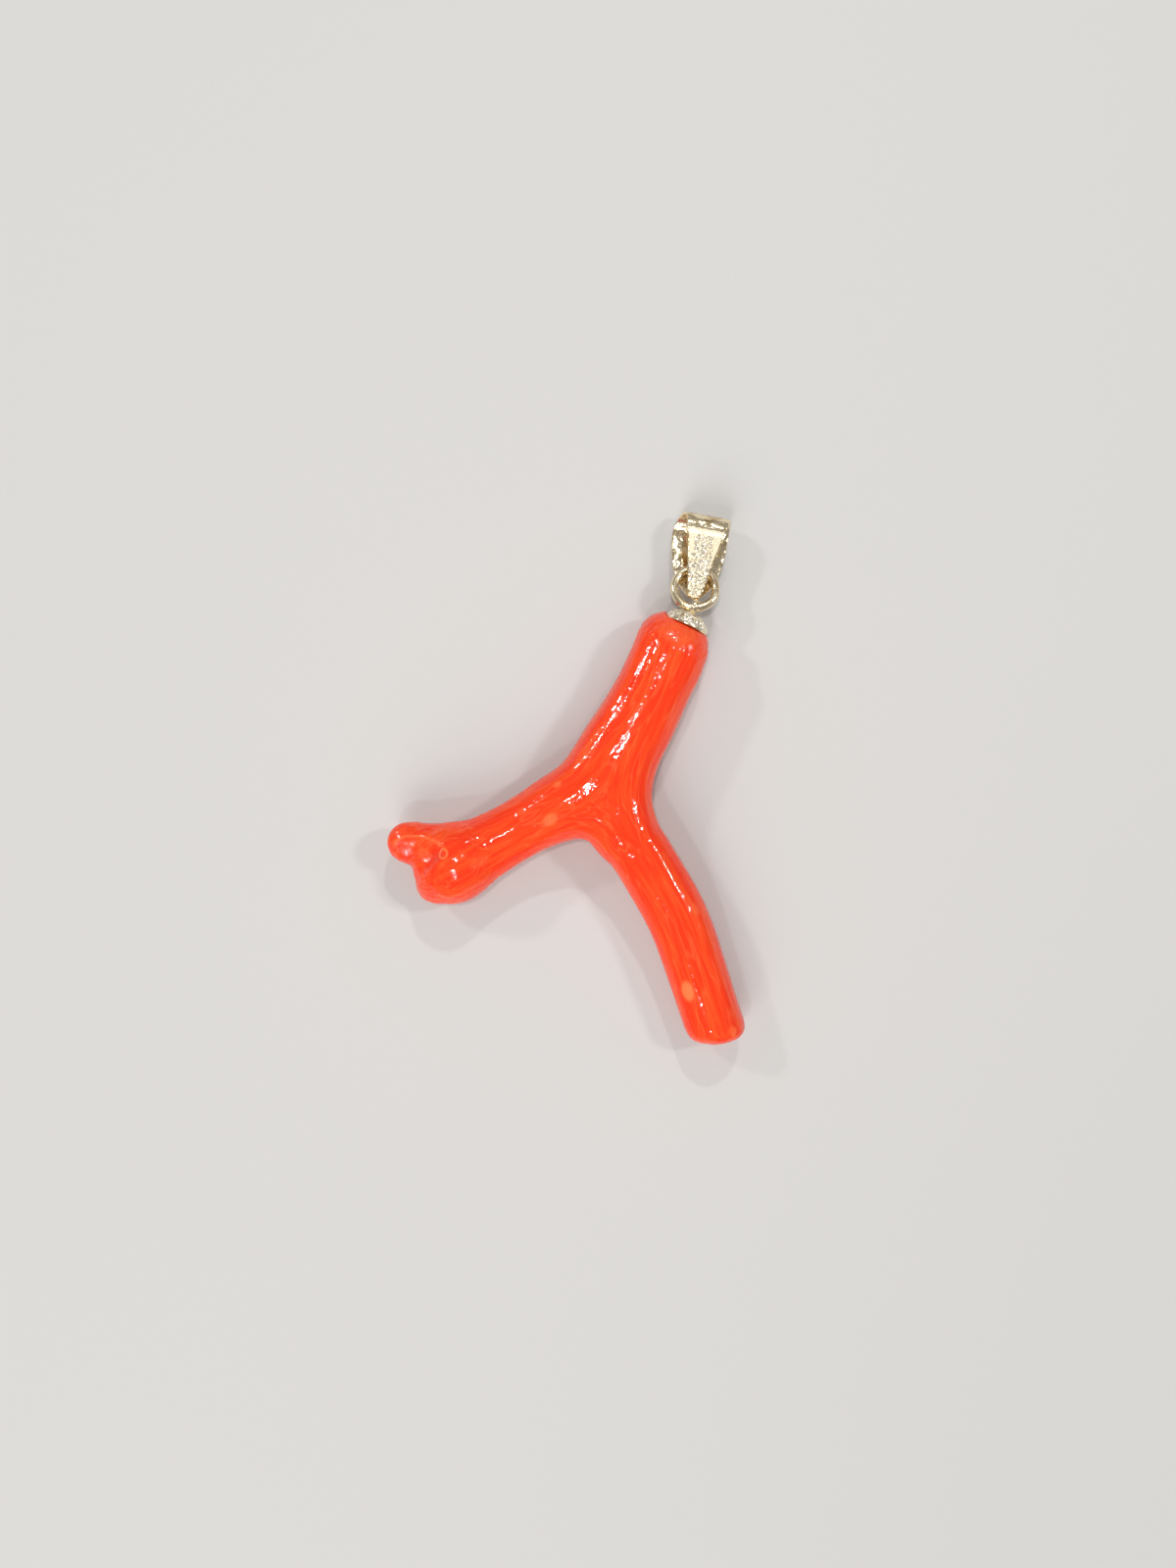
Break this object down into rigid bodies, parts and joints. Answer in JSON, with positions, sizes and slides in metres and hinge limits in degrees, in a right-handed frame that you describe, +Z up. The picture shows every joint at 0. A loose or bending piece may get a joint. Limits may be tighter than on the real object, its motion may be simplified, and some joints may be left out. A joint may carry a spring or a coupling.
{
  "type": "red coral branch pendant",
  "caption": "Polished red coral branch, forked into a plain arm and a knobbed arm, with a gold bell cap, jump ring and folded bail to hang it on a chain.",
  "frame": {"origin": "bottom centre of the whole part's box, on the surface that the part lies on", "axes": "+Y along the pendant from the arms' ends to the bail, +X to the right seen from above, +Z up out of its face"},
  "size_m": [0.0364, 0.0547, 0.0068],
  "materials": {
    "coral": "polished red-orange coral with a fine grain along the limbs",
    "gold": "bright polished gold, diamond-cut down the front of the bail"
  },
  "bodies": {
    "branch": {"coral_trunk": "coral", "coral_left_arm": "coral", "coral_right_arm": "coral", "bell_cap": "gold"},
    "ring": {"jump_ring": "gold"},
    "bail": {"bail": "gold"}
  },
  "joints": [
    {"name": "ring_swing", "type": "hinge", "parent": "branch", "child": "ring", "pos_m": [0.0129, 0.01735, 0.00335], "axis": [0.9963, -0.0854, 0], "range_deg": [-45, 65]},
    {"name": "bail_swing", "type": "hinge", "parent": "ring", "child": "bail", "pos_m": [0.01348, 0.02144, 0.00244], "axis": [0.982, -0.1891, 0], "range_deg": [0, 70]}
  ]
}
